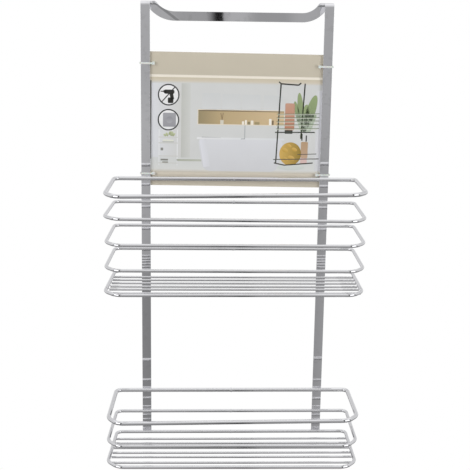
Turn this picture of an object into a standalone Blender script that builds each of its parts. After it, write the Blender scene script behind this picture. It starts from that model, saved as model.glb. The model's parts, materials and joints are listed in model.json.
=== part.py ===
"""Two-tier shower caddy that hooks over a shower screen: one folded flat-bar frame, two wire baskets
made of stacked loops welded to the fronts of the uprights, a display card and four card ties."""

import math

import bmesh
import bpy
from mathutils import Vector

MM = 0.001

# Flat bar of the frame. Depths are measured from its front face towards the screen,
# heights are measured down from the top of the hook.
BAR_WIDTH = 11.0
BAR_THICK = 2.5
UPRIGHT_SPACING = 217.4
FRAME_HEIGHT = 543.0
HOOK_DEPTH = 28.0
BEND_RADIUS = 2.0
CROSSBAR_DROP = 17.65
CROSSBAR_CORNER_RADIUS = 35.0
BEND_STEPS = 5
CORNER_STEPS = 10

# Wire loops, all of one plan shape. Plan sizes are to the wire's centre line.
RIM_WIRE = 5.0
RING_WIRE = 4.0
FLOOR_WIRE = 2.7
LOOP_BACK_HALF = 146.9
LOOP_FRONT_HALF = 148.4
LOOP_SIDE_DEPTH = 92.5
NOSE_HALF = 136.3
LOOP_DEPTH = 108.8
BACK_CORNER_RADIUS = 7.0
SIDE_CORNER_RADIUS = 9.0
FRONT_CORNER_RADIUS = 13.0
WIRE_SIDES = 8
CORNER_CUTS = 3
WELD_GAP = 0.3

UPPER_LOOPS = (210.3, 239.2, 268.5, 297.9, 326.7)
LOWER_LOOPS = (483.2, 511.9, 540.3)
FLOOR_DEPTHS = (17.4, 31.2, 45.4, 59.8, 72.2, 88.4)
FLOOR_HALF = 147.4

# Printed card behind the uprights, and the ties that hold it.
CARD_WIDTH = 214.0
CARD_TOP = 59.3
CARD_HEIGHT = 161.0
CARD_THICK = 0.8
TIE_HEIGHT = 2.2
TIE_THICK = 0.7
TIE_HOLE = 4.0
TIE_HOLE_X = 99.8
TIE_OUTER_X = 115.0
TIE_HOLE_SIDES = 12
TIE_HOLE_OVERSHOOT = 5.0
TIE_DROPS = {
    "top_left": 72.2,
    "top_right": 74.2,
    "bottom_left": 204.6,
    "bottom_right": 205.2,
}

# Clear pads between the metal and the glass.
PAD_WIDTH = 8.0
PAD_LENGTH = 15.0
PAD_THICK = 1.2
BUMPER_DIAMETER = 8.0
BUMPER_THICK = 3.0
BUMPER_SIDES = 16
BUMPER_DROP = 500.0

SEAT_DROP = BAR_THICK + WELD_GAP + PAD_THICK
SEAT_DEPTH = HOOK_DEPTH / 2


def place(x, depth, drop):
    """World point of a place given across, behind the bar's front face, and below the hook's top."""
    return Vector((x, depth - SEAT_DEPTH, SEAT_DROP - drop)) * MM


def clear_scene():
    for old in list(bpy.data.objects):
        bpy.data.objects.remove(old, do_unlink=True)


def material(name, colour, metallic, roughness, transmission=0.0):
    made = bpy.data.materials.new(name)
    made.use_nodes = True
    shader = made.node_tree.nodes["Principled BSDF"]
    shader.inputs["Base Color"].default_value = (*colour, 1.0)
    shader.inputs["Metallic"].default_value = metallic
    shader.inputs["Roughness"].default_value = roughness
    shader.inputs["Transmission Weight"].default_value = transmission
    return made


def add_mesh(name, verts, faces, look):
    mesh = bpy.data.meshes.new(name)
    mesh.from_pydata([tuple(v) for v in verts], [], faces)
    body = bmesh.new()
    body.from_mesh(mesh)
    bmesh.ops.recalc_face_normals(body, faces=body.faces)
    body.to_mesh(mesh)
    body.free()
    mesh.materials.append(look)
    made = bpy.data.objects.new(name, mesh)
    bpy.context.scene.collection.objects.link(made)
    return made


def arc_points(centre, radius, start, end, steps):
    points = []
    for i in range(steps + 1):
        a = start + (end - start) * i / steps
        points.append((centre[0] + radius * math.cos(a), centre[1] + radius * math.sin(a)))
    return points


def fold(height):
    """Depth, drop and outward direction of the bar's mid surface at a height along the unfolded pattern."""
    half = BAR_THICK / 2
    outer = BEND_RADIUS + BAR_THICK
    turn = outer - half
    rise = FRAME_HEIGHT - outer
    top = HOOK_DEPTH - 2 * outer
    quarter = turn * math.pi / 2
    if height <= rise:
        return half, FRAME_HEIGHT - height, -1.0, 0.0
    height -= rise
    if height <= quarter:
        a = height / turn
        return outer - turn * math.cos(a), outer - turn * math.sin(a), -math.cos(a), -math.sin(a)
    height -= quarter
    if height <= top:
        return outer + height, half, 0.0, -1.0
    height -= top
    if height <= quarter:
        a = height / turn
        return HOOK_DEPTH - outer + turn * math.sin(a), outer - turn * math.cos(a), math.sin(a), -math.cos(a)
    height -= quarter
    return HOOK_DEPTH - half, outer + height, 1.0, 0.0


def frame_strip(look):
    """One flat bar: the arch pattern is cut flat, then folded twice over the top of the screen."""
    outer = BEND_RADIUS + BAR_THICK
    quarter = (outer - BAR_THICK / 2) * math.pi / 2
    rise = FRAME_HEIGHT - outer
    top = HOOK_DEPTH - 2 * outer
    crossbar = rise + 2 * quarter + top + CROSSBAR_DROP - outer
    corner_x = UPRIGHT_SPACING / 2 - CROSSBAR_CORNER_RADIUS
    corner_y = crossbar - CROSSBAR_CORNER_RADIUS
    outline = []
    for side in (1, -1):
        radius = CROSSBAR_CORNER_RADIUS + side * BAR_WIDTH / 2
        foot = UPRIGHT_SPACING / 2 + side * BAR_WIDTH / 2
        right = arc_points((corner_x, corner_y), radius, 0.0, math.pi / 2, CORNER_STEPS)
        left = [(-x, y) for x, y in reversed(right)]
        path = [(foot, 0.0), *right, *left, (-foot, 0.0)]
        outline += path if side == 1 else path[::-1]
    flat = bmesh.new()
    face = flat.faces.new([flat.verts.new((x, y, -BAR_THICK / 2)) for x, y in outline])
    grown = bmesh.ops.extrude_face_region(flat, geom=[face])
    for item in grown["geom"]:
        if isinstance(item, bmesh.types.BMVert):
            item.co.z = BAR_THICK / 2
    cuts = []
    for start, length, steps in ((rise, quarter, BEND_STEPS), (rise + quarter + top, quarter, BEND_STEPS)):
        cuts += [start + length * i / steps for i in range(steps + 1)]
    for cut in cuts:
        geom = flat.verts[:] + flat.edges[:] + flat.faces[:]
        bmesh.ops.bisect_plane(flat, geom=geom, plane_co=(0, cut, 0), plane_no=(0, 1, 0), dist=1e-4)
    for vert in flat.verts:
        depth, drop, out_depth, out_drop = fold(vert.co.y)
        shift = vert.co.z
        vert.co = place(vert.co.x, depth + shift * out_depth, drop + shift * out_drop)
    bmesh.ops.triangulate(flat, faces=flat.faces[:])
    bmesh.ops.recalc_face_normals(flat, faces=flat.faces)
    mesh = bpy.data.meshes.new("frame_strip")
    flat.to_mesh(mesh)
    flat.free()
    mesh.materials.append(look)
    made = bpy.data.objects.new("frame_strip", mesh)
    bpy.context.scene.collection.objects.link(made)


def rounded(corners, radii, cuts):
    """A closed plan path with each corner turned into a short arc."""
    path = []
    count = len(corners)
    for i, corner in enumerate(corners):
        here = Vector(corner)
        back = (Vector(corners[i - 1]) - here).normalized()
        ahead = (Vector(corners[(i + 1) % count]) - here).normalized()
        half = math.acos(max(-1.0, min(1.0, back.dot(ahead)))) / 2
        reach = radii[i] / math.tan(half)
        centre = here + (back + ahead).normalized() * (radii[i] / math.sin(half))
        first = here + back * reach - centre
        sweep = math.pi - 2 * half
        turn = 1.0 if back.x * ahead.y - back.y * ahead.x < 0 else -1.0
        for k in range(cuts + 1):
            a = turn * sweep * k / cuts
            path.append(
                (
                    centre.x + first.x * math.cos(a) - first.y * math.sin(a),
                    centre.y + first.x * math.sin(a) + first.y * math.cos(a),
                )
            )
    return path


def wire_loop(name, drop, wire, look):
    """A closed horizontal wire loop. Its back run touches down on the fronts of both uprights."""
    back = -(wire / 2 + WELD_GAP)
    corners = [
        (LOOP_BACK_HALF, back),
        (LOOP_FRONT_HALF, -LOOP_SIDE_DEPTH),
        (NOSE_HALF, -LOOP_DEPTH),
        (-NOSE_HALF, -LOOP_DEPTH),
        (-LOOP_FRONT_HALF, -LOOP_SIDE_DEPTH),
        (-LOOP_BACK_HALF, back),
    ]
    corner_radii = [BACK_CORNER_RADIUS, SIDE_CORNER_RADIUS, FRONT_CORNER_RADIUS]
    path = rounded(corners, corner_radii + corner_radii[::-1], CORNER_CUTS)
    count = len(path)
    verts, faces = [], []
    for i, (x, y) in enumerate(path):
        before = Vector(path[i - 1])
        after = Vector(path[(i + 1) % count])
        along = (after - before).normalized()
        for k in range(WIRE_SIDES):
            a = 2 * math.pi * (k + 0.5) / WIRE_SIDES
            out = wire / 2 * math.cos(a)
            verts.append(place(x + along.y * out, y - along.x * out, drop - wire / 2 * math.sin(a)))
    for i in range(count):
        for k in range(WIRE_SIDES):
            a, b = i * WIRE_SIDES, ((i + 1) % count) * WIRE_SIDES
            n = (k + 1) % WIRE_SIDES
            faces.append((a + k, b + k, b + n, a + n))
    add_mesh(name, verts, faces, look)


def floor_wires(tier, loop_drop, look):
    """Thin straight wires welded under the floor loop's side runs."""
    drop = loop_drop + RING_WIRE / 2 + WELD_GAP + FLOOR_WIRE / 2
    for n, depth in enumerate(FLOOR_DEPTHS):
        verts, faces = [], []
        for x in (-FLOOR_HALF, FLOOR_HALF):
            for k in range(WIRE_SIDES):
                a = 2 * math.pi * (k + 0.5) / WIRE_SIDES
                across = FLOOR_WIRE / 2 * math.cos(a)
                down = FLOOR_WIRE / 2 * math.sin(a)
                verts.append(place(x, across - depth, drop + down))
        for k in range(WIRE_SIDES):
            ahead = (k + 1) % WIRE_SIDES
            faces.append((k, ahead, WIRE_SIDES + ahead, WIRE_SIDES + k))
        faces.append(tuple(range(WIRE_SIDES)))
        faces.append(tuple(range(WIRE_SIDES, 2 * WIRE_SIDES)))
        add_mesh(f"{tier}_floor_wire_{n + 1}", verts, faces, look)


def box(name, low, high, look):
    """A block between two corners given as (x, depth, drop)."""
    verts = [place(x, y, z) for x in (low[0], high[0]) for y in (low[1], high[1]) for z in (low[2], high[2])]
    faces = [(0, 1, 3, 2), (4, 6, 7, 5), (0, 4, 5, 1), (2, 3, 7, 6), (0, 2, 6, 4), (1, 5, 7, 3)]
    return add_mesh(name, verts, faces, look)


def round_bar(name, x, depths, drop, radius, sides, look):
    """A short round bar pointing front to back."""
    verts, faces = [], []
    for depth in depths:
        for k in range(sides):
            a = 2 * math.pi * k / sides
            verts.append(place(x + radius * math.cos(a), depth, drop + radius * math.sin(a)))
    for k in range(sides):
        ahead = (k + 1) % sides
        faces.append((k, ahead, sides + ahead, sides + k))
    faces.append(tuple(range(sides)))
    faces.append(tuple(range(sides, 2 * sides)))
    return add_mesh(name, verts, faces, look)


def cut(target, tool):
    tool.hide_render = True
    tool.display_type = "WIRE"
    change = target.modifiers.new(tool.name, "BOOLEAN")
    change.operation = "DIFFERENCE"
    change.solver = "EXACT"
    change.object = tool


def card_and_ties(paper, plastic):
    front = BAR_THICK + WELD_GAP
    back = front + CARD_THICK
    half = CARD_WIDTH / 2
    card = box("display_card", (-half, front, CARD_TOP), (half, back, CARD_TOP + CARD_HEIGHT), paper)
    for where, drop in TIE_DROPS.items():
        side = -1 if where.endswith("left") else 1
        depths = (front - TIE_HOLE_OVERSHOOT, back + TIE_HOLE_OVERSHOOT)
        name = f"hole_{where}"
        hole = round_bar(name, side * TIE_HOLE_X, depths, drop, TIE_HOLE / 2, TIE_HOLE_SIDES, paper)
        cut(card, hole)
        band(f"card_tie_{where}", side, drop, plastic)


def band(name, side, drop, look):
    """A flat band around one upright and the edge of the card, passing through the card's hole."""
    inner = TIE_HOLE_X - TIE_THICK / 2
    outer = TIE_OUTER_X
    near = -WELD_GAP
    far = BAR_THICK + WELD_GAP + CARD_THICK + WELD_GAP
    hollow = ((inner, near), (outer, near), (outer, far), (inner, far))
    middle = (inner + outer) / 2
    skin = []
    for x, y in hollow:
        aside = math.copysign(TIE_THICK, x - middle)
        away = math.copysign(TIE_THICK, y - BAR_THICK / 2)
        skin.append((x + aside, y + away))
    verts, faces = [], []
    for z in (drop - TIE_HEIGHT / 2, drop + TIE_HEIGHT / 2):
        for loop in (hollow, skin):
            verts += [place(side * x, y, z) for x, y in loop]
    for k in range(4):
        n = (k + 1) % 4
        faces.append((k, n, 4 + n, 4 + k))
        faces.append((8 + k, 12 + k, 12 + n, 8 + n))
        faces.append((k, 8 + k, 8 + n, n))
        faces.append((4 + k, 4 + n, 12 + n, 12 + k))
    add_mesh(name, verts, faces, look)


def pads(clear):
    for name, side in (("left", -1), ("right", 1)):
        x = side * UPRIGHT_SPACING / 2
        half = PAD_WIDTH / 2
        middle = HOOK_DEPTH / 2
        low = (x - half, middle - PAD_LENGTH / 2, BAR_THICK + WELD_GAP)
        high = (x + half, middle + PAD_LENGTH / 2, BAR_THICK + WELD_GAP + PAD_THICK)
        box(f"hook_pad_{name}", low, high, clear)
        start = BAR_THICK + WELD_GAP
        depths = (start, start + BUMPER_THICK)
        radius = BUMPER_DIAMETER / 2
        round_bar(f"rear_bumper_{name}", x, depths, BUMPER_DROP, radius, BUMPER_SIDES, clear)


def build():
    clear_scene()
    chrome = material("chrome", (0.78, 0.79, 0.81), 1.0, 0.06)
    paper = material("card", (0.78, 0.74, 0.64), 0.0, 0.55)
    plastic = material("tie_plastic", (0.92, 0.92, 0.90), 0.0, 0.45)
    clear = material("clear_silicone", (0.90, 0.92, 0.92), 0.0, 0.25, 0.6)
    frame_strip(chrome)
    for tier, drops in (("upper", UPPER_LOOPS), ("lower", LOWER_LOOPS)):
        wire_loop(f"{tier}_rim", drops[0], RIM_WIRE, chrome)
        for n, drop in enumerate(drops[1:-1]):
            wire_loop(f"{tier}_ring_{n + 1}", drop, RING_WIRE, chrome)
        wire_loop(f"{tier}_floor_ring", drops[-1], RING_WIRE, chrome)
        floor_wires(tier, drops[-1], chrome)
    card_and_ties(paper, plastic)
    pads(clear)


build()
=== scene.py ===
import json
import math

import bmesh
import bpy
from mathutils import Matrix, Vector

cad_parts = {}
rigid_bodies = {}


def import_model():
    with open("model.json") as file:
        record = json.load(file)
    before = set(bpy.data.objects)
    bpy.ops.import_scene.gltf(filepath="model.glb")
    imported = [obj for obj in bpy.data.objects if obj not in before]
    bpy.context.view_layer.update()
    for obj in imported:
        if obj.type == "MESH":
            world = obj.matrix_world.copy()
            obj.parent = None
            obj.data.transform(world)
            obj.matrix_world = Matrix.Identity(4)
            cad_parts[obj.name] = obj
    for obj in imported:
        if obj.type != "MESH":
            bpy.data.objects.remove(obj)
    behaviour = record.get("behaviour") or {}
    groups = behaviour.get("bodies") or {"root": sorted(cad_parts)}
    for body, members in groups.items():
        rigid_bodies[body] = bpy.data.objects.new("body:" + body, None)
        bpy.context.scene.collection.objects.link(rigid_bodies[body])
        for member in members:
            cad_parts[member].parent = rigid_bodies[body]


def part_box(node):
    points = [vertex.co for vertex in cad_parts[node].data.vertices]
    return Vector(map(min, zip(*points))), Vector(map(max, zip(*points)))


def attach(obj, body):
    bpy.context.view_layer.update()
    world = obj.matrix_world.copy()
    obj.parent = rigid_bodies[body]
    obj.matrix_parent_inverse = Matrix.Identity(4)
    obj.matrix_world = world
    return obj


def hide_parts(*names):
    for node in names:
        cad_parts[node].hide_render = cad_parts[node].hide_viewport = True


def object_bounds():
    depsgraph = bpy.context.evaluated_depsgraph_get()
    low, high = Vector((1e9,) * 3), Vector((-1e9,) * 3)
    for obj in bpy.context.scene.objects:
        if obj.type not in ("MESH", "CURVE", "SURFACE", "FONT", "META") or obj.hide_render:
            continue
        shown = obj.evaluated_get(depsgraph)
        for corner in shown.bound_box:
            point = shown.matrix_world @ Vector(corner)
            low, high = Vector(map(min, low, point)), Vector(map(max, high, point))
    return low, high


# A two-tier shower caddy that hooks over the glass of a shower. The file follows it as it is put together:
# the studio, the folded flat bar, the welded wire baskets, the printed card with its ties, the clear pads.
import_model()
cad_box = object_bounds()


# ---- Studio --------------------------------------------------------------------------------------
# A white room with one long soft light overhead, two upright softboxes beside the camera, each in a black
# frame, and a dim space in between where the camera and its stand are. The chrome shows all of them.
CAMERA_PLACE = (-0.0553, -1.2810, 0.0197)
CAMERA_TURN = -2.533
CAMERA_DIP = 13.168
CAMERA_ROLL = -0.855

lens = bpy.data.cameras.new("camera")
lens.sensor_width = 36.0
lens.lens = 80.75
camera = bpy.data.objects.new("camera", lens)
bpy.context.scene.collection.objects.link(camera)
facing = Matrix.Rotation(math.radians(CAMERA_TURN), 4, "Z")
facing = facing @ Matrix.Rotation(math.radians(90.0 - CAMERA_DIP), 4, "X")
facing = facing @ Matrix.Rotation(math.radians(-CAMERA_ROLL), 4, "Z")
camera.matrix_world = Matrix.Translation(CAMERA_PLACE) @ facing
bpy.context.scene.camera = camera
bpy.context.scene.view_settings.view_transform = "Standard"

room = bpy.data.worlds.new("studio")
room.use_nodes = True
bpy.context.scene.world = room
tree = room.node_tree
tree.nodes.clear()


def calc(tree, operation, first, second=0.0, third=0.0):
    """One Math node: sockets are linked, plain numbers are set."""
    node = tree.nodes.new("ShaderNodeMath")
    node.operation = operation
    for socket, value in zip(node.inputs, (first, second, third)):
        if isinstance(value, bpy.types.NodeSocket):
            tree.links.new(value, socket)
        else:
            socket.default_value = value
    return node.outputs[0]


def ease(tree, value, start, end, low=0.0, high=1.0):
    """Goes smoothly from low to high as value goes from start to end."""
    node = tree.nodes.new("ShaderNodeMapRange")
    node.interpolation_type = "SMOOTHSTEP"
    tree.links.new(value, node.inputs["Value"])
    for name, amount in (("From Min", start), ("From Max", end), ("To Min", low), ("To Max", high)):
        if isinstance(amount, bpy.types.NodeSocket):
            tree.links.new(amount, node.inputs[name])
        else:
            node.inputs[name].default_value = amount
    return node.outputs["Result"]


def between(tree, value, low, high, soft):
    """One from low to high and nothing outside. Each edge fades over soft to either side."""
    rise = ease(tree, value, low - soft, low + soft)
    return calc(tree, "MULTIPLY", rise, ease(tree, value, high - soft, high + soft, 1.0, 0.0))


def dimmed(tree, light, amount):
    """The light with a share of it taken away: an amount of one leaves none."""
    return calc(tree, "MULTIPLY", light, calc(tree, "SUBTRACT", 1.0, amount))


# Where a ray looks: its height over the horizon and its turn to the side, both in degrees.
look = tree.nodes.new("ShaderNodeTexCoord")
split = tree.nodes.new("ShaderNodeSeparateXYZ")
tree.links.new(look.outputs["Generated"], split.inputs[0])
ahead = calc(tree, "MULTIPLY", split.outputs["Y"], -1.0)
height = calc(tree, "DEGREES", calc(tree, "ARCSINE", split.outputs["Z"]))
side = calc(tree, "DEGREES", calc(tree, "ARCTAN2", split.outputs["X"], ahead))
aside = calc(tree, "ABSOLUTE", side)

# Ahead the room is dim, darker towards the floor and on the left, where a paler screen stands.
low_front = ease(tree, side, -2.0, 6.0, 0.27, 0.43)
dim_front = ease(tree, height, -24.0, 2.0, low_front, 0.45)
screen = ease(tree, height, -15.8, -14.4, 0.0, 0.13)
screen = calc(tree, "MULTIPLY", screen, ease(tree, height, -8.0, -4.0, 1.0, 0.25))
screen = calc(tree, "MULTIPLY", screen, ease(tree, side, -2.0, 1.0, 1.0, 0.0))
dim_front = calc(tree, "ADD", dim_front, screen)
carpet = ease(tree, height, -36.0, -25.0, 0.13, 1.0)
carpet = calc(tree, "MAXIMUM", carpet, ease(tree, height, -75.0, -50.0, 0.26, 0.13))
dim_front = calc(tree, "MINIMUM", dim_front, carpet)

# Higher up the room brightens, and again towards the long light overhead.
bright = ease(tree, height, 7.0, 15.0, 0.3, 0.64)
bright = calc(tree, "ADD", bright, ease(tree, height, 28.0, 85.0, 0.0, 0.4))
front = calc(tree, "MAXIMUM", dim_front, bright)

# Level with the lens stand three upright panels, grey, pale and grey. Below them is a darker gap.
panels = calc(tree, "MULTIPLY", between(tree, side, -0.9, 1.9, 0.3), 0.13)
pale = calc(tree, "MULTIPLY", between(tree, side, 1.9, 3.2, 0.3), 0.12)
panels = calc(tree, "SUBTRACT", panels, pale)
grey = calc(tree, "MULTIPLY", between(tree, side, 3.2, 5.4, 0.5), 0.18)
panels = calc(tree, "ADD", panels, grey)
panels = calc(tree, "MULTIPLY", panels, between(tree, height, -2.8, -0.6, 0.3))
front = dimmed(tree, front, panels)
gap = ease(tree, height, -14.0, -4.0, 0.42, 0.0)
gap = calc(tree, "MULTIPLY", between(tree, side, -1.5, 7.0, 3.5), gap)
front = dimmed(tree, front, gap)

# The camera and its black stand: a narrow post, sharp on its right side, and its legs below.
stand_left = ease(tree, height, -9.0, -3.0, 2.0, 0.8)
stand_right = ease(tree, height, -9.0, -3.0, 3.25, 1.78)
stand = ease(tree, side, stand_left, calc(tree, "SUBTRACT", stand_right, 0.35))
stand = calc(tree, "MULTIPLY", stand, calc(tree, "LESS_THAN", side, stand_right))
stand = calc(tree, "MULTIPLY", stand, ease(tree, height, 2.0, 12.0, 0.97, 0.0))
front = dimmed(tree, front, stand)
legs = calc(tree, "MULTIPLY", between(tree, split.outputs["X"], 0.045, 0.062, 0.006), 0.85)
legs = calc(tree, "MULTIPLY", legs, between(tree, height, -80.0, -24.0, 6.0))
front = dimmed(tree, front, legs)

# On either side a softbox shines in the middle of its black frame.
black_frame = between(tree, aside, 24.0, 74.0, 2.0)
black_frame = calc(tree, "MULTIPLY", black_frame, between(tree, height, -26.0, 62.0, 6.0))
front = dimmed(tree, front, calc(tree, "MULTIPLY", black_frame, 0.8))
box_light = between(tree, aside, 35.0, 68.0, 2.0)
box_light = calc(tree, "MULTIPLY", box_light, between(tree, height, -16.0, 36.0, 6.0))
front = calc(tree, "ADD", front, calc(tree, "MULTIPLY", box_light, 1.7))

# Past the softboxes the walls are plain: dark at the floor, pale at eye level and palest at the ceiling.
walls = ease(tree, height, -44.0, -16.0, 0.2, 0.52)
walls = calc(tree, "ADD", walls, ease(tree, height, -14.0, -3.0, 0.0, 0.32))
walls = calc(tree, "SUBTRACT", walls, ease(tree, height, 3.0, 14.0, 0.0, 0.14))
walls = calc(tree, "ADD", walls, ease(tree, height, 25.0, 60.0, 0.0, 0.34))
flank = ease(tree, aside, 72.0, 84.0)
mixed = calc(tree, "ADD", dimmed(tree, front, flank), calc(tree, "MULTIPLY", flank, walls))

seen = tree.nodes.new("ShaderNodeBackground")
seen.inputs["Color"].default_value = (1.0, 1.0, 1.0, 1.0)
lit = tree.nodes.new("ShaderNodeBackground")
lit.inputs["Color"].default_value = (0.985, 0.985, 1.0, 1.0)
tree.links.new(mixed, lit.inputs["Strength"])
path = tree.nodes.new("ShaderNodeLightPath")
swap = tree.nodes.new("ShaderNodeMixShader")
tree.links.new(path.outputs["Is Camera Ray"], swap.inputs[0])
tree.links.new(lit.outputs[0], swap.inputs[1])
tree.links.new(seen.outputs[0], swap.inputs[2])
out = tree.nodes.new("ShaderNodeOutputWorld")
tree.links.new(swap.outputs[0], out.inputs["Surface"])

# The two softboxes again as lights, for the card: the metal already shows them.
KEY_POWER = 6.9
SOFTBOX_WIDTH = 0.5
SOFTBOX_HEIGHT = 1.3
SOFTBOX_AWAY = 1.5
SOFTBOX_RISE = 0.05
for angle in (-42.0, 50.0):
    lamp = bpy.data.lights.new("softbox", "AREA")
    lamp.shape = "RECTANGLE"
    lamp.size = SOFTBOX_WIDTH
    lamp.size_y = SOFTBOX_HEIGHT
    lamp.energy = KEY_POWER
    light = bpy.data.objects.new("softbox", lamp)
    bpy.context.scene.collection.objects.link(light)
    place = Matrix.Translation((0.0, -SOFTBOX_AWAY, SOFTBOX_RISE)) @ Matrix.Rotation(math.pi / 2, 4, "X")
    light.matrix_world = Matrix.Rotation(math.radians(angle), 4, "Z") @ place
    light.visible_camera = False
    light.visible_glossy = False


def work_on(piece):
    """Makes this the one selected and active object, in object mode."""
    if bpy.context.object and bpy.context.object.mode != "OBJECT":
        bpy.ops.object.mode_set(mode="OBJECT")
    for other in bpy.context.view_layer.objects:
        other.select_set(False)
    piece.select_set(True)
    bpy.context.view_layer.objects.active = piece


def started(name):
    """Names the primitive that was just added, puts its place into its mesh and opens it for editing."""
    piece = bpy.context.object
    piece.name = name
    piece.data.name = name
    work_on(piece)
    bpy.ops.object.transform_apply(location=True, rotation=True, scale=True)
    bpy.ops.object.mode_set(mode="EDIT")
    bpy.ops.mesh.select_mode(type="VERT")
    bpy.ops.mesh.select_all(action="SELECT")
    return piece


def finished(piece):
    """Back to object mode."""
    bpy.ops.object.mode_set(mode="OBJECT")
    return piece


def material(name):
    """A new material, with its nodes and its shader."""
    look = bpy.data.materials.new(name)
    look.use_nodes = True
    return look, look.node_tree, look.node_tree.nodes["Principled BSDF"]


# A white floor, a little below the feet, that only the camera sees.
FLOOR_SIZE = 6.0
FLOOR_DROP = 0.03
bpy.ops.mesh.primitive_plane_add(size=FLOOR_SIZE, location=(0.0, 0.0, cad_box[0][2] - FLOOR_DROP))
floor = finished(started("studio_floor"))
floor.visible_glossy = False
floor.visible_diffuse = False
floor.visible_transmission = False
floor.visible_shadow = False
paint, tree, shader = material("floor_paint")
shader.inputs["Base Color"].default_value = (0.0, 0.0, 0.0, 1.0)
shader.inputs["Specular IOR Level"].default_value = 0.0
shader.inputs["Emission Color"].default_value = (1.0, 1.0, 1.0, 1.0)
shader.inputs["Emission Strength"].default_value = 1.0
floor.data.materials.append(paint)


# ---- Frame strip ---------------------------------------------------------------------------------
# One length of steel flat bar, bent in its own plane to an arch and folded twice over the top of the glass,
# so that its crossbar hangs behind. Chrome plated, with its edges rolled round and its feet sawn square.
MM = 0.001
NEAR = 0.1 * MM
BAR_WIDTH = 11.0 * MM
BAR_THICK = 2.5 * MM
BAR_EDGE = 0.35 * MM
FOLD_OUTSIDE = 5.0 * MM
CROSSBAR_DROP = 17.65 * MM
LEFT_ARC = 34.5 * MM
RIGHT_ARC = 29.5 * MM
ARC_STEPS = 28
FOLD_STEPS = 8


def pick(piece, kind, wanted):
    """In edit mode, selects only the verts, edges or faces whose middle is wanted."""
    bpy.ops.mesh.select_mode(type={"verts": "VERT", "edges": "EDGE", "faces": "FACE"}[kind])
    bpy.ops.mesh.select_all(action="DESELECT")
    body = bmesh.from_edit_mesh(piece.data)
    for item in getattr(body, kind):
        corners = [item] if kind == "verts" else item.verts
        if wanted(sum((v.co for v in corners), Vector()) / len(corners)):
            item.select_set(True)
    body.select_flush_mode()
    bmesh.update_edit_mesh(piece.data)


def modify(piece, kind, **settings):
    """Adds one modifier and applies it."""
    work_on(piece)
    change = piece.modifiers.new(kind.lower(), kind)
    for name, value in settings.items():
        setattr(change, name, value)
    bpy.ops.object.modifier_apply(modifier=change.name)


def dress(piece, look, slot, *nodes):
    """Gives a piece its finish, puts it on the frame and hides the nodes that it stands for."""
    piece.data.materials.clear()
    piece.data.materials.append(look)
    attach(piece, "root")
    if nodes:
        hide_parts(*nodes)
    return piece


bar_low, bar_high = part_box("frame_strip")
upright_x = bar_high.x - BAR_WIDTH / 2
sheet_y = bar_low.y + BAR_THICK / 2
fold_run = (FOLD_OUTSIDE - BAR_THICK / 2) * math.pi / 2
first_fold = bar_high.z - FOLD_OUTSIDE
second_fold = first_fold + fold_run + (bar_high.y - bar_low.y) - 2 * FOLD_OUTSIDE
crossbar_z = second_fold + fold_run + CROSSBAR_DROP - FOLD_OUTSIDE

foot = (upright_x, sheet_y, bar_low.z + BAR_WIDTH / 2)
bpy.ops.mesh.primitive_plane_add(size=BAR_WIDTH, location=foot, rotation=(math.pi / 2, 0.0, 0.0))
strip = started("frame_strip_plated")
pick(strip, "edges", lambda p: p.z > bar_low.z + BAR_WIDTH * 0.9)
rise = crossbar_z - RIGHT_ARC - (bar_low.z + BAR_WIDTH)
bpy.ops.mesh.extrude_region_move(TRANSFORM_OT_translate={"value": (0.0, 0.0, rise)})
centre = (upright_x - RIGHT_ARC, sheet_y, crossbar_z - RIGHT_ARC)
bpy.ops.mesh.spin(steps=ARC_STEPS, angle=math.pi / 2, center=centre, axis=(0.0, 1.0, 0.0))
across = -2 * upright_x + RIGHT_ARC + LEFT_ARC
bpy.ops.mesh.extrude_region_move(TRANSFORM_OT_translate={"value": (across, 0.0, 0.0)})
centre = (-upright_x + LEFT_ARC, sheet_y, crossbar_z - LEFT_ARC)
bpy.ops.mesh.spin(steps=ARC_STEPS, angle=math.pi / 2, center=centre, axis=(0.0, 1.0, 0.0))
fall = bar_low.z - crossbar_z + LEFT_ARC
bpy.ops.mesh.extrude_region_move(TRANSFORM_OT_translate={"value": (0.0, 0.0, fall)})
bpy.ops.mesh.select_all(action="SELECT")
bpy.ops.mesh.remove_doubles(threshold=0.01 * MM)

fold_lines = []
for start in (first_fold, second_fold):
    fold_lines += [start + fold_run * (i + 0.5) / FOLD_STEPS for i in range(FOLD_STEPS)]
for line in fold_lines:
    bpy.ops.mesh.select_all(action="SELECT")
    bpy.ops.mesh.bisect(plane_co=(0.0, 0.0, line), plane_no=(0.0, 0.0, 1.0))
pattern = [v.co.z for v in bmesh.from_edit_mesh(strip.data).verts]
for line in reversed(fold_lines):
    bpy.ops.mesh.select_mode(type="VERT")
    bpy.ops.mesh.select_all(action="DESELECT")
    body = bmesh.from_edit_mesh(strip.data)
    for vert in body.verts:
        vert.select_set(pattern[vert.index] > line + 0.01 * MM)
    body.select_flush_mode()
    bmesh.update_edit_mesh(strip.data)
    bpy.ops.transform.rotate(
        value=math.pi / 2 / FOLD_STEPS, orient_axis="X", center_override=(0.0, sheet_y, line)
    )
bpy.ops.mesh.select_all(action="SELECT")
bpy.ops.mesh.normals_make_consistent(inside=False)
finished(strip)
modify(strip, "SOLIDIFY", thickness=BAR_THICK, offset=0.0, use_even_offset=True)
bpy.ops.object.shade_smooth()
modify(strip, "BEVEL", width=BAR_EDGE, segments=4, limit_method="ANGLE", angle_limit=1.2)
modify(strip, "WEIGHTED_NORMAL", weight=90)


def group(name, inputs, outputs):
    """A node group with these sockets, each name with its kind of value."""
    made = bpy.data.node_groups.new(name, "ShaderNodeTree")
    for way, sockets in (("INPUT", inputs), ("OUTPUT", outputs)):
        for socket, kind in sockets.items():
            made.interface.new_socket(socket, in_out=way, socket_type="NodeSocket" + kind)
    return made, made.nodes.new("NodeGroupInput"), made.nodes.new("NodeGroupOutput")


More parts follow.
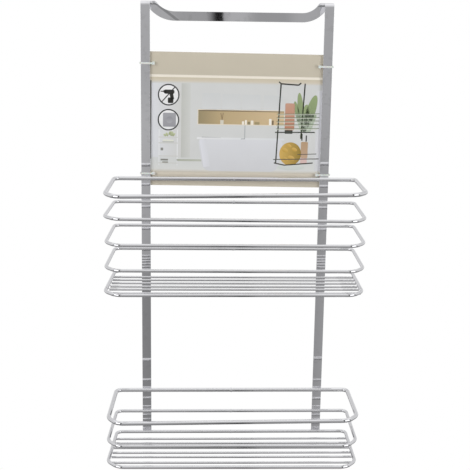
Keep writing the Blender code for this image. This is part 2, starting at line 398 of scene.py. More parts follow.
def noise(tree, scale, detail=2.0):
    """A cloudy value that stays put on the piece."""
    where = tree.nodes.new("ShaderNodeTexCoord")
    clouds = tree.nodes.new("ShaderNodeTexNoise")
    clouds.inputs["Scale"].default_value = scale
    clouds.inputs["Detail"].default_value = detail
    tree.links.new(where.outputs["Object"], clouds.inputs["Vector"])
    return clouds.outputs["Fac"]


def emboss(tree, height, depth, strength=1.0):
    """Raises the surface by the depth where the height is one, over any relief that it has already."""
    shader = tree.nodes["Principled BSDF"]
    bump = tree.nodes.new("ShaderNodeBump")
    bump.inputs["Strength"].default_value = strength
    bump.inputs["Distance"].default_value = depth
    tree.links.new(height, bump.inputs["Height"])
    for link in shader.inputs["Normal"].links:
        tree.links.new(link.from_socket, bump.inputs["Normal"])
    tree.links.new(bump.outputs["Normal"], shader.inputs["Normal"])


# Every plated part has the same finish: bright chrome over steel that is not quite flat, a little duller
# where water has dried, with a fine grain from the polishing wheel.
finish, given, made = group(
    "chrome_wear",
    {"Wave Size": "Float", "Bright": "Color", "Dull": "Color", "Polish": "Float"},
    {"Color": "Color", "Roughness": "Float", "Height": "Float"},
)
waves = noise(finish, 1.0, 0.6)
finish.links.new(given.outputs["Wave Size"], waves.node.inputs["Scale"])
dried = ease(finish, noise(finish, 130.0, 4.0), 0.52, 0.72)
grain = noise(finish, 2400.0)
tint = finish.nodes.new("ShaderNodeMix")
tint.data_type = "RGBA"
finish.links.new(dried, tint.inputs["Factor"])
finish.links.new(given.outputs["Bright"], tint.inputs["A"])
finish.links.new(given.outputs["Dull"], tint.inputs["B"])
finish.links.new(tint.outputs["Result"], made.inputs["Color"])
rough = calc(finish, "MULTIPLY_ADD", dried, 0.035, given.outputs["Polish"])
rough = calc(finish, "MULTIPLY_ADD", grain, 0.02, rough)
finish.links.new(rough, made.inputs["Roughness"])
finish.links.new(waves, made.inputs["Height"])


def plating(name, wave_size, wave_depth, polish, bright, dull):
    """Chrome for one kind of stock: how it ripples, how well it is polished and its colour."""
    look, tree, shader = material(name)
    shader.inputs["Metallic"].default_value = 1.0
    wear = tree.nodes.new("ShaderNodeGroup")
    wear.node_tree = finish
    wear.inputs["Wave Size"].default_value = wave_size
    wear.inputs["Bright"].default_value = bright
    wear.inputs["Dull"].default_value = dull
    wear.inputs["Polish"].default_value = polish
    tree.links.new(wear.outputs["Color"], shader.inputs["Base Color"])
    tree.links.new(wear.outputs["Roughness"], shader.inputs["Roughness"])
    emboss(tree, wear.outputs["Height"], wave_depth)
    return look


bar_bright = (0.80, 0.80, 0.815, 1.0)
bar_dull = (0.74, 0.74, 0.75, 1.0)
bar_chrome = plating("bar_chrome", 30.0, 0.03 * MM, 0.012, bar_bright, bar_dull)

# The press left a shallow crease slantwise across the left bend of the crossbar. It fades out over the hook.
CREASE_PLACE = (-79.8 * MM, -11.8 * MM)
CREASE_SLANT = (0.6, 0.8)
CREASE_HALF = 2.4 * MM
CREASE_DEPTH = 1.0 * MM
CREASE_FADE = (-4.0 * MM, 8.0 * MM)
tree = bar_chrome.node_tree
where = tree.nodes.new("ShaderNodeTexCoord")
parts = tree.nodes.new("ShaderNodeSeparateXYZ")
tree.links.new(where.outputs["Object"], parts.inputs[0])
start = -CREASE_PLACE[0] * CREASE_SLANT[0] - CREASE_PLACE[1] * CREASE_SLANT[1]
across = calc(tree, "MULTIPLY_ADD", parts.outputs["X"], CREASE_SLANT[0], start)
across = calc(tree, "MULTIPLY_ADD", parts.outputs["Z"], CREASE_SLANT[1], across)
crease = ease(tree, across, -CREASE_HALF, CREASE_HALF)
crease = calc(tree, "MULTIPLY", crease, ease(tree, parts.outputs["Y"], *CREASE_FADE))
emboss(tree, crease, CREASE_DEPTH)
dress(strip, bar_chrome, "chrome", "frame_strip")


# ---- Wire loops ----------------------------------------------------------------------------------
# Eight closed loops of drawn steel wire, bent to one plan and butt welded at the middle of the back run. The
# rims are the thicker wire. Each was set by hand in the welding jig, so the noses sit a little up or down.
RIM_WIRE = 5.0 * MM
RING_WIRE = 4.0 * MM
SIDE_CORNER_DEPTH = 92.5 * MM
NOSE_DEPTH = 108.8 * MM
BACK_HALF = 146.9 * MM
SIDE_HALF = 148.4 * MM
NOSE_HALF = 136.3 * MM
BACK_REACH = 7.0 * MM
SIDE_REACH = 6.2 * MM
NOSE_REACH = 7.4 * MM
CORNER_STEPS = 8
NOSE_LEAN = -2.8 * MM
BUTT_WELD_X = -1.5 * MM
BUTT_WELD_HALF = 1.6 * MM
BUTT_WELD_SWELL = 1.1

wire_bright = (0.82, 0.82, 0.83, 1.0)
wire_dull = (0.79, 0.79, 0.795, 1.0)
wire_chrome = plating("wire_chrome", 45.0, 0.002 * MM, 0.03, wire_bright, wire_dull)


def wire_loop(node, wire, left_rise, right_rise, left_out):
    """One loop: a flat outline with rounded corners, leaned and tipped at its nose, made round as a tube."""
    low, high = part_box(node)
    level = (low.z + high.z) / 2
    back = high.y - wire / 2
    front = bar_low.y - SIDE_CORNER_DEPTH
    nose = bar_low.y - NOSE_DEPTH
    size = (2 * SIDE_HALF, back - front, 1.0)
    bpy.ops.mesh.primitive_plane_add(size=1.0, location=(0.0, (back + front) / 2, level), scale=size)
    loop = started(node + "_wire")
    bpy.ops.transform.resize(value=size, center_override=(0.0, (back + front) / 2, level))
    pick(loop, "edges", lambda p: p.y < front + NEAR)
    bpy.ops.mesh.extrude_region_move(TRANSFORM_OT_translate={"value": (0.0, nose - front, 0.0)})
    bpy.ops.transform.resize(value=(NOSE_HALF / SIDE_HALF, 1.0, 1.0), center_override=(0.0, nose, level))
    pick(loop, "edges", lambda p: p.y > back - NEAR)
    bpy.ops.transform.resize(value=(BACK_HALF / SIDE_HALF, 1.0, 1.0), center_override=(0.0, back, level))
    pick(loop, "edges", lambda p: abs(p.y - front) < NEAR and abs(p.x) < 1.0 * MM)
    bpy.ops.mesh.dissolve_edges(use_verts=False)
    for hand, rise in ((-1, left_rise), (1, right_rise)):
        for depth in (front, nose):
            share = (back - depth) / (back - nose)
            pick(loop, "verts", lambda p: p.x * hand > 0 and abs(p.y - depth) < NEAR)
            out = left_out if hand < 0 and depth == front else 0.0
            bpy.ops.transform.translate(value=(NOSE_LEAN * share - out, 0.0, rise * share))
    for depth, reach in ((back, BACK_REACH), (front, SIDE_REACH), (nose, NOSE_REACH)):
        pick(loop, "verts", lambda p: abs(p.y - depth) < NEAR)
        bpy.ops.mesh.bevel(offset_type="OFFSET", offset=reach, segments=CORNER_STEPS, affect="VERTICES")
    bpy.ops.mesh.select_all(action="SELECT")
    bpy.ops.mesh.delete(type="ONLY_FACE")
    for place in (-1.0, -0.5, 0.5, 1.0):
        bpy.ops.mesh.select_all(action="SELECT")
        cut = (BUTT_WELD_X + place * BUTT_WELD_HALF, 0.0, 0.0)
        bpy.ops.mesh.bisect(plane_co=cut, plane_no=(1.0, 0.0, 0.0))
    finished(loop)
    bpy.ops.object.convert(target="CURVE")
    loop = bpy.context.object
    loop.data.bevel_depth = wire / 2
    loop.data.bevel_resolution = 4
    for point in loop.data.splines[0].points:
        if point.co.y > back - NEAR and abs(point.co.x - BUTT_WELD_X) < BUTT_WELD_HALF * 0.7:
            point.radius = BUTT_WELD_SWELL
    bpy.ops.object.convert(target="MESH")
    loop = bpy.context.object
    bpy.ops.object.mode_set(mode="EDIT")
    bpy.ops.mesh.select_all(action="SELECT")
    bpy.ops.mesh.normals_make_consistent(inside=False)
    finished(loop)
    bpy.ops.object.shade_smooth()
    modify(loop, "WEIGHTED_NORMAL", weight=90)
    return dress(loop, wire_chrome, "chrome", node)


NOSE_RISES = {
    "upper_rim": (-2.1, 1.5),
    "upper_ring_1": (1.1, -0.2),
    "upper_ring_2": (0.2, 0.3),
    "upper_ring_3": (0.0, -0.2),
    "upper_floor_ring": (-0.2, 0.5),
    "lower_rim": (-0.4, 2.5),
    "lower_ring_1": (-0.4, -0.8),
    "lower_floor_ring": (1.4, 0.3),
}
LEFT_OUTS = (0.6, 1.5, 0.2, 0.7, 1.8, -0.1, 0.6, 1.1)
for (node, (left_rise, right_rise)), left_out in zip(NOSE_RISES.items(), LEFT_OUTS):
    wire = RIM_WIRE if node.endswith("rim") else RING_WIRE
    wire_loop(node, wire, left_rise * MM, right_rise * MM, left_out * MM)


# ---- Floor wires ---------------------------------------------------------------------------------
# Six thin straight wires under each basket, resistance welded up into the side runs of its lowest loop. They
# are cropped on a shear, which leaves their ends slightly rounded.
FLOOR_WIRE = 2.7 * MM
CROP_ROUND = 0.6 * MM

for tier in ("upper", "lower"):
    left_rise, right_rise = (amount * MM for amount in NOSE_RISES[tier + "_floor_ring"])
    ring_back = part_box(tier + "_floor_ring")[1].y
    for number in range(1, 7):
        node = f"{tier}_floor_wire_{number}"
        low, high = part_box(node)
        middle = (low + high) / 2
        share = (ring_back - middle.y) / NOSE_DEPTH
        tilt = math.atan2((right_rise - left_rise) * share, high.x - low.x)
        centre = middle + Vector((NOSE_LEAN * share, 0.0, (left_rise + right_rise) / 2 * share))
        bpy.ops.mesh.primitive_cylinder_add(
            vertices=16, radius=FLOOR_WIRE / 2, depth=high.x - low.x, location=centre,
            rotation=(0.0, math.pi / 2 - tilt, 0.0),
        )
        wire = started(node + "_cropped")
        pick(wire, "faces", lambda p: abs(p.x - centre.x) > (high.x - low.x) * 0.49)
        bpy.ops.mesh.bevel(offset=CROP_ROUND, segments=3, affect="EDGES")
        finished(wire)
        bpy.ops.object.shade_smooth_by_angle(angle=math.radians(50.0))
        modify(wire, "WEIGHTED_NORMAL", weight=90)
        dress(wire, wire_chrome, "chrome", node)


# ---- Welds ---------------------------------------------------------------------------------------
# Each loop is resistance welded to the fronts of both uprights, and each floor wire up into its loop. The
# metal squeezed out of the joint sets as a low bead, plated over with the rest.
WELD_LENGTH = 7.0 * MM
WELD_DEPTH = 1.3 * MM
WELD_SHARE = 0.62
FLOOR_BEAD = (2.6 * MM, 2.3 * MM, 1.3 * MM)


def bead(name, centre, size):
    """One low lump of weld: a ball flattened to its size, its two poles lying along the joint."""
    bpy.ops.mesh.primitive_uv_sphere_add(
        segments=20, ring_count=10, radius=0.5, location=centre, rotation=(0.0, math.pi / 2, 0.0)
    )
    lump = started(name)
    bpy.ops.transform.resize(value=size, center_override=centre)
    pick(lump, "verts", lambda p: abs(p.x - centre[0]) > size[0] * 0.3)
    bpy.ops.transform.resize(value=(1.0, 1.15, 1.25), center_override=centre)
    finished(lump)
    bpy.ops.object.shade_smooth()
    return lump


def joined(name, parts):
    """Several shapes that are one piece."""
    work_on(parts[0])
    for part in parts:
        part.select_set(True)
    bpy.ops.object.join()
    parts[0].name = name
    parts[0].data.name = name
    return parts[0]


for node in NOSE_RISES:
    low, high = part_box(node)
    size = (WELD_LENGTH, WELD_DEPTH, (high.z - low.z) * WELD_SHARE)
    beads = []
    for hand in (-1, 1):
        place = (hand * upright_x, high.y, (low.z + high.z) / 2)
        beads.append(bead(f"{node}_bead", place, size))
    dress(joined(node + "_welds", beads), wire_chrome, "chrome")

for tier in ("upper", "lower"):
    ring_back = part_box(tier + "_floor_ring")[1].y
    left_rise, right_rise = (amount * MM for amount in NOSE_RISES[tier + "_floor_ring"])
    beads = []
    for number in range(1, 7):
        low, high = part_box(f"{tier}_floor_wire_{number}")
        depth = (low.y + high.y) / 2
        share = (ring_back - depth) / NOSE_DEPTH
        reach = BACK_HALF + (SIDE_HALF - BACK_HALF) * share
        for hand, rise in ((-1, left_rise), (1, right_rise)):
            place = (hand * reach + NOSE_LEAN * share, depth, high.z + rise * share)
            beads.append(bead(f"{tier}_floor_bead", place, FLOOR_BEAD))
    dress(joined(tier + "_floor_welds", beads), wire_chrome, "chrome")


# ---- Card ----------------------------------------------------------------------------------------
# The shop's display card: stiff white board, coated on its front, with four punched holes for the ties. It
# hangs in its ties a little crooked, down to the right.
CARD_TURN = math.radians(0.5)
CARD_CORNER = 0.8 * MM
CARD_EDGE = 0.15 * MM
HOLE_RADIUS = 2.0 * MM
HOLE_ASIDE = 1.05 * MM
PUNCH_LENGTH = 10.0 * MM

card_low, card_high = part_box("display_card")
card_centre = (card_low + card_high) / 2
card_size = card_high - card_low

bpy.ops.mesh.primitive_cube_add(size=1.0, location=card_centre)
board = started("display_card_board")
bpy.ops.transform.resize(value=card_size, center_override=card_centre)
pick(board, "edges", lambda p: abs(p.y - card_centre.y) < CARD_EDGE)
bpy.ops.mesh.bevel(offset=CARD_CORNER, segments=4, affect="EDGES")
pick(board, "faces", lambda p: abs(p.y - card_centre.y) > card_size.y * 0.49)
bpy.ops.mesh.bevel(offset=CARD_EDGE, segments=2, affect="EDGES")
bpy.ops.mesh.select_all(action="SELECT")
bpy.ops.transform.rotate(value=-CARD_TURN, orient_axis="Y", center_override=card_centre)
finished(board)
tie_nodes = [f"card_tie_{end}_{hand}" for end in ("top", "bottom") for hand in ("left", "right")]
for node in tie_nodes:
    low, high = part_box(node)
    hand = math.copysign(1.0, low.x + high.x)
    inner = min(abs(low.x), abs(high.x)) + HOLE_ASIDE
    place = (hand * inner, card_centre.y, (low.z + high.z) / 2)
    bpy.ops.mesh.primitive_cylinder_add(
        vertices=28, radius=HOLE_RADIUS, depth=PUNCH_LENGTH, location=place, rotation=(math.pi / 2, 0.0, 0.0)
    )
    punch = bpy.context.object
    modify(board, "BOOLEAN", operation="DIFFERENCE", object=punch)
    bpy.data.objects.remove(punch)
work_on(board)
bpy.ops.object.shade_smooth_by_angle(angle=math.radians(40.0))

FIBRE_HEIGHT = 0.02 * MM
stock, given, made = group(
    "card_stock",
    {"Ink": "Color", "Grain": "Float"},
    {"Color": "Color", "Roughness": "Float", "Height": "Float"},
)
clouds = noise(stock, 60.0, 3.0)
fibres = noise(stock, 1500.0)
shift = calc(stock, "SUBTRACT", clouds, 0.5)
shift = calc(stock, "ADD", shift, calc(stock, "SUBTRACT", fibres, 0.5))
shift = calc(stock, "MULTIPLY_ADD", shift, given.outputs["Grain"], 1.0)
tinted = stock.nodes.new("ShaderNodeVectorMath")
tinted.operation = "SCALE"
stock.links.new(given.outputs["Ink"], tinted.inputs[0])
stock.links.new(shift, tinted.inputs["Scale"])
stock.links.new(tinted.outputs["Vector"], made.inputs["Color"])
stock.links.new(calc(stock, "MULTIPLY_ADD", clouds, 0.15, 0.42), made.inputs["Roughness"])
stock.links.new(fibres, made.inputs["Height"])


def paper(name, grain, ink):
    """Card stock. The ink is one colour, or a function that gives a colour that changes over the card."""
    look, tree, shader = material(name)
    fibre = tree.nodes.new("ShaderNodeGroup")
    fibre.node_tree = stock
    fibre.inputs["Grain"].default_value = grain
    if callable(ink):
        tree.links.new(ink(tree), fibre.inputs["Ink"])
    else:
        fibre.inputs["Ink"].default_value = ink
    tree.links.new(fibre.outputs["Color"], shader.inputs["Base Color"])
    tree.links.new(fibre.outputs["Roughness"], shader.inputs["Roughness"])
    emboss(tree, fibre.outputs["Height"], FIBRE_HEIGHT, 0.3)
    return look


raw_board = paper("raw_board", 0.1, (0.66, 0.65, 0.61, 1.0))
dress(board, raw_board, "card", "display_card")


# ---- Print on the card ---------------------------------------------------------------------------
# Offset print on the coated front, ink on ink: beige bands around a picture of a bathroom that shows the
# caddy in use, and two plain signs, no drilling and a stick-on pad. Places are in millimetres from the
# card's centre.
INK_STEP = 0.035 * MM
INK_TOP = 0.95
print_parts = []


def inked(rgb):
    """Linear colour of an ink given in the usual 0 to 255 of a colour chart."""
    colour = []
    for part in rgb:
        share = part / 255.0
        share = share / 12.92 if share <= 0.04045 else ((share + 0.055) / 1.055) ** 2.4
        colour.append(min(share, INK_TOP))
    return (*colour, 1.0)


def shape(kind, x, z, width, tall, layer, ink, shade=None, along="z", turn=0.0, taper=1.0, corner=0.0):
    """One flat area of ink. Its colour goes from ink to shade, left to right or bottom to top."""
    upright = (math.pi / 2, 0.0, 0.0)
    if kind == "disc":
        bpy.ops.mesh.primitive_circle_add(vertices=40, radius=0.5, fill_type="NGON", rotation=upright)
    else:
        bpy.ops.mesh.primitive_plane_add(size=1.0, rotation=upright)
    area = started("print_area")
    bpy.ops.transform.resize(value=(width * MM, 1.0, tall * MM), center_override=(0.0, 0.0, 0.0))
    if taper != 1.0:
        pick(area, "verts", lambda p: p.z < 0)
        bpy.ops.transform.resize(value=(taper, 1.0, 1.0), center_override=(0.0, 0.0, 0.0))
    if corner:
        bpy.ops.mesh.select_all(action="SELECT")
        bpy.ops.mesh.bevel(offset=corner * MM, segments=5, affect="VERTICES")
    finished(area)
    colours = area.data.color_attributes.new(name="ink", type="FLOAT_COLOR", domain="POINT")
    start = inked(ink)
    end = inked(shade or ink)
    for vert, colour in zip(area.data.vertices, colours.data):
        size = tall * MM if along == "z" else width * MM
        share = min(max((vert.co.z if along == "z" else vert.co.x) / size + 0.5, 0.0), 1.0)
        colour.color = [a + (b - a) * share for a, b in zip(start, end)]
    bpy.ops.object.mode_set(mode="EDIT")
    bpy.ops.mesh.select_all(action="SELECT")
    bpy.ops.mesh.extrude_region_move(TRANSFORM_OT_translate={"value": (0.0, -INK_STEP * layer, 0.0)})
    bpy.ops.mesh.select_all(action="SELECT")
    bpy.ops.mesh.normals_make_consistent(inside=False)
    if turn:
        bpy.ops.transform.rotate(value=-math.radians(turn), orient_axis="Y", center_override=(0.0, 0.0, 0.0))
    bpy.ops.transform.translate(value=(x * MM, 0.0, z * MM))
    print_parts.append(finished(area))


def bar(x1, z1, x2, z2, thick, layer, ink, shade=None):
    """A straight line of ink between two places."""
    length = math.hypot(x2 - x1, z2 - z1)
    turn = math.degrees(math.atan2(x2 - x1, z2 - z1))
    shape("block", (x1 + x2) / 2, (z1 + z2) / 2, thick, length, layer, ink, shade, turn=turn)


def band(low, high, layer, ink, shade=None, left=-107.0, right=107.0, along="z"):
    """A band of ink between two heights. It runs over the whole card unless its ends are given."""
    shape("block", (left + right) / 2, (low + high) / 2, right - left, high - low, layer, ink, shade, along)


BEIGE = (194, 186, 168)
CREAM = (233, 226, 212)
WALL = (206, 207, 205)
FLOOR = (213, 214, 211)
NICHE = (180, 160, 122)
BLACK = (38, 38, 34)

band(53.6, 80.5, 1, BEIGE, (197, 189, 171))
band(50.6, 53.6, 1, CREAM)
band(46.8, 50.6, 1, (206, 197, 178), (200, 190, 168))
band(43.6, 46.8, 1, WALL, (206, 197, 178))
band(-46.0, 43.6, 1, WALL, left=-55.0)
band(-46.0, 43.6, 1, (216, 218, 222), (206, 206, 203), -107.0, -66.0, "x")
band(-46.0, 43.6, 1, (189, 190, 184), (203, 204, 200), -66.0, -55.0, "x")
band(-60.0, -46.0, 1, FLOOR, (207, 209, 207))
band(-64.0, -60.0, 1, (198, 190, 174), FLOOR)
band(-80.5, -64.0, 1, (199, 191, 173), (207, 199, 184))
# A dark line down the card's left edge, right beside the upright: partly a line printed in the picture,
# partly the upright's painted shadow on the card.
band(-48.0, 46.5, 2, (92, 93, 92), (104, 104, 98), -104.0, -102.0)
band(-60.0, 38.0, 2, (208, 209, 210), (226, 226, 232), 97.0, 107.0, "x")
for x, tall in ((-30.0, 42.0), (-6.0, 40.0), (18.0, 38.0), (44.0, 36.0)):
    shape("block", x, 22.0, 22.0, tall * 0.5, 2, (209, 210, 209), (203, 205, 204))

shape("block", 6.0, 3.8, 105.0, 18.4, 2, (224, 214, 194))
band(-4.6, 12.1, 3, (148, 135, 103), NICHE, -45.5, -20.0, "x")
band(-4.6, 12.1, 3, NICHE, (207, 183, 145), -20.0, 58.0, "x")
band(10.9, 12.1, 4, (116, 102, 74), (140, 122, 92), -45.5, 58.0, "x")
for x, wide, tall, ink in (
    (-17.0, 4.0, 5.0, (208, 203, 188)),
    (8.6, 2.6, 4.0, (232, 226, 212)),
    (12.0, 2.2, 5.5, (236, 231, 220)),
    (15.6, 3.0, 3.5, (132, 124, 94)),
    (19.5, 3.2, 5.0, (230, 224, 210)),
    (25.5, 6.0, 3.2, (156, 142, 104)),
    (41.5, 3.0, 7.4, (236, 232, 222)),
    (44.6, 2.0, 5.5, (112, 96, 72)),
):
    shape("block", x, -4.6 + tall / 2, wide, tall, 4, ink, corner=0.5)
bar(-18.5, 8.8, -16.6, 0.5, 0.6, 4, (116, 94, 66))
bar(-15.5, 9.2, -16.9, 0.5, 0.6, 4, (116, 94, 66))

band(-50.4, -48.0, 2, (170, 173, 158), (186, 188, 176), -71.0, -38.0, "x")
shape("block", 6.2, -41.6, 104.6, 40.5, 3, (206, 207, 209), (213, 214, 217), taper=0.86, corner=8.0)
shape("block", -37.0, -40.0, 8.0, 34.0, 4, (219, 220, 225), (211, 212, 215), "x", turn=-9.0)
shape("block", 6.2, -22.0, 106.6, 2.4, 4, (224, 225, 226), (214, 216, 217), "x", corner=1.1)
bar(-41.0, -20.6, -18.0, -21.0, 0.9, 5, (176, 177, 177), (202, 203, 203))
bar(11.0, -5.6, 11.0, -22.6, 1.0, 5, (172, 175, 176))
bar(6.5, -22.2, 11.0, -21.8, 0.9, 5, (158, 160, 162))

for x in (-92.5, -70.5):
    bar(x, -56.0, x, -12.0, 1.0, 2, (226, 227, 228))
for z in (-21.5, -28.5, -44.5, -53.0):
    bar(-93.0, z, -70.0, z, 1.1, 3, (202, 202, 197))
for x, z, wide, tall, turn in (
    (-77.5, -17.2, 5.0, 5.6, 0.0),
    (-83.0, -18.2, 2.6, 5.0, -28.0),
    (-79.8, -16.4, 2.2, 5.0, 20.0),
    (-85.6, -19.0, 2.4, 4.0, -50.0),
    (-74.6, -18.4, 2.0, 5.0, 38.0),
):
    shape("disc", x, z, wide, tall, 4, (158, 168, 130), (192, 198, 160), turn=turn)
for x, z, wide, tall, ink in (
    (-81.5, -27.0, 14.0, 1.6, (190, 191, 186)),
    (-81.5, -25.4, 13.0, 2.0, (222, 223, 210)),
    (-89.0, -36.0, 3.0, 3.4, (132, 132, 126)),
    (-86.0, -49.0, 9.0, 2.0, (132, 132, 126)),
    (-85.0, -52.0, 7.0, 1.8, (150, 150, 142)),
):
    shape("block", x, z, wide, tall, 4, ink, corner=0.6)

for z in (29.6, -0.4):
    shape("disc", -81.4, z, 26.0, 26.0, 3, (44, 44, 44))
    shape("disc", -81.4, z, 23.0, 23.0, 4, (226, 227, 226), (234, 234, 233))
shape("block", -80.8, 33.2, 12.6, 5.0, 5, BLACK, corner=2.0)
shape("block", -88.6, 33.6, 5.0, 1.1, 5, BLACK)
shape("block", -86.2, 33.6, 3.0, 3.0, 5, BLACK, corner=0.8)
shape("block", -77.6, 27.8, 4.2, 8.0, 5, BLACK, turn=-12.0)
shape("block", -79.0, 23.0, 6.6, 6.6, 5, BLACK, corner=1.0)
bar(-89.4, 21.2, -74.0, 38.8, 1.2, 6, (44, 44, 44))
shape("block", -80.2, -0.4, 15.6, 16.8, 5, (150, 150, 154), (160, 160, 164), corner=1.2)
shape("disc", -80.2, -0.4, 8.0, 8.0, 6, (168, 168, 172), (142, 142, 147))

shape("disc", 68.2, -56.0, 34.0, 7.0, 4, (200, 206, 200), (209, 213, 208))
shape("block", 65.0, 5.8, 11.6, 32.4, 5, (182, 124, 98), (194, 152, 130), corner=1.2)
shape("block", 64.2, -12.6, 9.6, 4.4, 5, (66, 70, 64), corner=0.8)
for x, z, wide, tall, turn in (
    (77.6, 16.0, 7.0, 38.0, -6.0),
    (90.0, 12.0, 11.0, 42.0, 16.0),
    (73.6, 12.0, 5.5, 26.0, -14.0),
    (84.0, 4.0, 10.0, 34.0, 4.0),
):
    shape("disc", x, z, wide, tall, 5, (124, 140, 104), (146, 162, 116), turn=turn)
shape("block", 84.6, -1.6, 27.0, 22.0, 5, (178, 188, 172), (150, 166, 138), taper=0.45, corner=3.0)
shape("disc", 67.0, -39.4, 26.6, 28.4, 5, (206, 170, 92), (148, 124, 54), "x")
for x, z, wide in ((60.5, -35.0, 8), (68.5, -44.5, 9), (72.0, -34.0, 7), (62.0, -46.0, 6), (65.5, -29.5, 6)):
    shape("disc", x, z, wide, wide * 0.6, 6, (188, 150, 66), (208, 174, 98), turn=25.0)
shape("block", 84.0, -34.4, 8.4, 20.0, 5, (190, 160, 134), (176, 148, 116), corner=1.5)
shape("block", 83.6, -47.6, 8.0, 6.4, 5, (214, 184, 178), corner=1.0)
bar(80.6, -14.5, 80.8, -23.0, 1.3, 6, BLACK)
bar(86.0, -16.5, 86.0, -24.0, 1.3, 6, BLACK)

bar(49.6, -50.6, 53.2, 45.2, 1.5, 6, (52, 54, 42), BLACK)
bar(79.2, -20.6, 82.2, 46.0, 1.5, 6, (58, 66, 40), BLACK)
bar(53.4, 45.2, 74.6, 44.0, 1.6, 7, BLACK)
bar(50.6, 47.6, 53.6, 45.0, 1.5, 7, BLACK)
bar(74.4, 44.0, 77.4, 46.6, 1.5, 7, BLACK)
for z in (9.4, 5.0, 0.6, -3.8, -8.4):
    bar(49.0, z - 0.6, 101.0, z + 0.8, 0.7, 7, (122, 132, 108))
    bar(50.0, z - 1.6, 99.0, z - 0.4, 0.6, 7, (206, 210, 196))
bar(47.6, -13.4, 96.0, -12.6, 1.3, 7, (62, 66, 58))
bar(76.0, -40.0, 99.0, -39.0, 0.8, 7, (80, 80, 74))
bar(46.4, -46.6, 102.0, -45.0, 1.0, 7, (84, 84, 78))
bar(47.4, -50.8, 60.0, -53.4, 1.4, 7, (62, 62, 54))
bar(60.0, -53.4, 95.0, -50.2, 1.4, 7, (62, 62, 54))

art = joined("display_card_print", print_parts)
bpy.ops.object.mode_set(mode="EDIT")
bpy.ops.mesh.select_all(action="SELECT")
bpy.ops.transform.translate(value=(card_centre.x, card_low.y - 0.01 * MM, card_centre.z))
bpy.ops.transform.rotate(value=-CARD_TURN, orient_axis="Y", center_override=card_centre)
finished(art)


def read_ink(tree):
    """The ink colour that each printed area carries."""
    carried = tree.nodes.new("ShaderNodeAttribute")
    carried.attribute_name = "ink"
    return carried.outputs["Color"]


dress(art, paper("printed_card", 0.045, read_ink), "card")


# ---- Card ties -----------------------------------------------------------------------------------
# Four soft white plastic ties. Each is a flat strap through a hole in the card and round the upright, its
# tail pulled through a small head that sits on the card's face beside the bar.
STRAP_THICK = 0.7 * MM
STRAP_BEND = 0.5 * MM
STRAP_EDGE = 0.18 * MM
HEAD_SIZE = (3.2 * MM, 2.2 * MM, 3.8 * MM)
HEAD_ROUND = 0.7 * MM
HEAD_RIM = 0.35 * MM
HEAD_SINK = 0.25 * MM
HEAD_ASIDE = 0.4 * MM
HEAD_BACK = 0.9 * MM


def two_tone(tree, amount, low, high):
    """Goes from one colour to another with the amount."""
    ramp = tree.nodes.new("ShaderNodeValToRGB")
    ramp.color_ramp.elements[0].color = low
    ramp.color_ramp.elements[1].color = high
    tree.links.new(amount, ramp.inputs["Fac"])
    return ramp.outputs["Color"]


soft_white, tree, shader = material("tie_plastic")
shader.inputs["Subsurface Weight"].default_value = 0.1
shader.inputs["Subsurface Scale"].default_value = 1.0 * MM
cloud = noise(tree, 400.0)
tint = two_tone(tree, cloud, (0.64, 0.66, 0.63, 1.0), (0.72, 0.74, 0.71, 1.0))
tree.links.new(tint, shader.inputs["Base Color"])
tree.links.new(ease(tree, cloud, 0.2, 0.8, 0.35, 0.5), shader.inputs["Roughness"])
emboss(tree, cloud, 0.02 * MM)

for node in tie_nodes:
    low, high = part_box(node)
    middle = (low + high) / 2
    hand = math.copysign(1.0, middle.x)
    hollow = high - low - Vector((STRAP_THICK, STRAP_THICK, 0.0))
    bpy.ops.mesh.primitive_plane_add(size=1.0, location=(middle.x, middle.y, low.z))
    strap = started(node + "_strap")
    bpy.ops.transform.resize(value=(hollow.x, hollow.y, 1.0), center_override=(middle.x, middle.y, low.z))
    bpy.ops.mesh.bevel(offset=STRAP_BEND, segments=4, affect="VERTICES")
    bpy.ops.mesh.select_all(action="SELECT")
    bpy.ops.mesh.delete(type="ONLY_FACE")
    bpy.ops.mesh.select_all(action="SELECT")
    bpy.ops.mesh.extrude_region_move(TRANSFORM_OT_translate={"value": (0.0, 0.0, high.z - low.z)})
    bpy.ops.mesh.select_all(action="SELECT")
    bpy.ops.mesh.normals_make_consistent(inside=False)
    finished(strap)
    modify(strap, "SOLIDIFY", thickness=STRAP_THICK, offset=0.0, use_even_offset=True)
    modify(strap, "BEVEL", width=STRAP_EDGE, segments=2, limit_method="ANGLE", angle_limit=1.2)
    place = Vector((hand * (min(abs(low.x), abs(high.x)) + HEAD_ASIDE), low.y + HEAD_BACK, middle.z))
    bpy.ops.mesh.primitive_cube_add(size=1.0, location=place)
    head = started(node + "_head")
    bpy.ops.transform.resize(value=HEAD_SIZE, center_override=place)
    bpy.ops.mesh.bevel(offset=HEAD_ROUND, segments=4, affect="EDGES")
    pick(head, "faces", lambda p: p.y < place.y - HEAD_SIZE[1] * 0.49)
    bpy.ops.mesh.inset(thickness=HEAD_RIM)
    bpy.ops.transform.translate(value=(0.0, HEAD_SINK, 0.0))
    finished(head)
    tie = joined(node + "_strap", [strap, head])
    bpy.ops.object.shade_smooth_by_angle(angle=math.radians(40.0))
    dress(tie, soft_white, "tie_plastic", node)


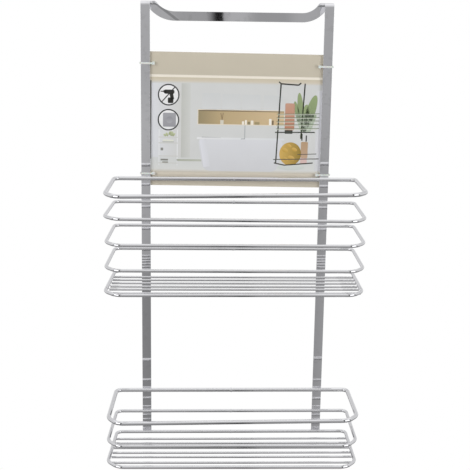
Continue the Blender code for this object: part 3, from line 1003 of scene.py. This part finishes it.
# ---- Pads and bumpers ----------------------------------------------------------------------------
# Clear silicone that keeps the metal off the glass: a pad glued under each side of the hook, with its edges
# rounded, and a round bumper with a domed face behind each upright near its foot.
PAD_CORNER = 2.0 * MM
PAD_EDGE = 0.5 * MM
BUMPER_DOME = 1.3 * MM
BUMPER_EDGE = 0.2 * MM

clear, tree, shader = material("clear_silicone")
shader.inputs["Transmission Weight"].default_value = 0.75
shader.inputs["IOR"].default_value = 1.41
haze = noise(tree, 350.0, 3.0)
tint = two_tone(tree, haze, (0.86, 0.89, 0.89, 1.0), (0.95, 0.97, 0.97, 1.0))
tree.links.new(tint, shader.inputs["Base Color"])
tree.links.new(ease(tree, haze, 0.3, 0.7, 0.12, 0.3), shader.inputs["Roughness"])

for hand in ("left", "right"):
    node = "hook_pad_" + hand
    low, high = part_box(node)
    middle = (low + high) / 2
    bpy.ops.mesh.primitive_cube_add(size=1.0, location=middle)
    pad = started(node + "_soft")
    bpy.ops.transform.resize(value=high - low, center_override=middle)
    pick(pad, "edges", lambda p: abs(p.z - middle.z) < NEAR)
    bpy.ops.mesh.bevel(offset=PAD_CORNER, segments=6, affect="EDGES")
    pick(pad, "faces", lambda p: p.z < low.z + NEAR / 2)
    bpy.ops.mesh.bevel(offset=PAD_EDGE, segments=4, affect="EDGES")
    finished(pad)
    bpy.ops.object.shade_smooth_by_angle(angle=math.radians(40.0))
    dress(pad, clear, "clear_silicone", node)

    node = "rear_bumper_" + hand
    low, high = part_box(node)
    middle = (low + high) / 2
    radius = (high.x - low.x) / 2
    bpy.ops.mesh.primitive_cylinder_add(
        vertices=40, radius=radius, depth=high.y - low.y, location=middle, rotation=(math.pi / 2, 0.0, 0.0)
    )
    bumper = started(node + "_soft")
    pick(bumper, "faces", lambda p: p.y > high.y - NEAR / 2)
    bpy.ops.mesh.bevel(offset=BUMPER_DOME, segments=6, affect="EDGES")
    pick(bumper, "faces", lambda p: p.y < low.y + NEAR / 2)
    bpy.ops.mesh.bevel(offset=BUMPER_EDGE, segments=2, affect="EDGES")
    finished(bumper)
    bpy.ops.object.shade_smooth_by_angle(angle=math.radians(40.0))
    dress(bumper, clear, "clear_silicone", node)
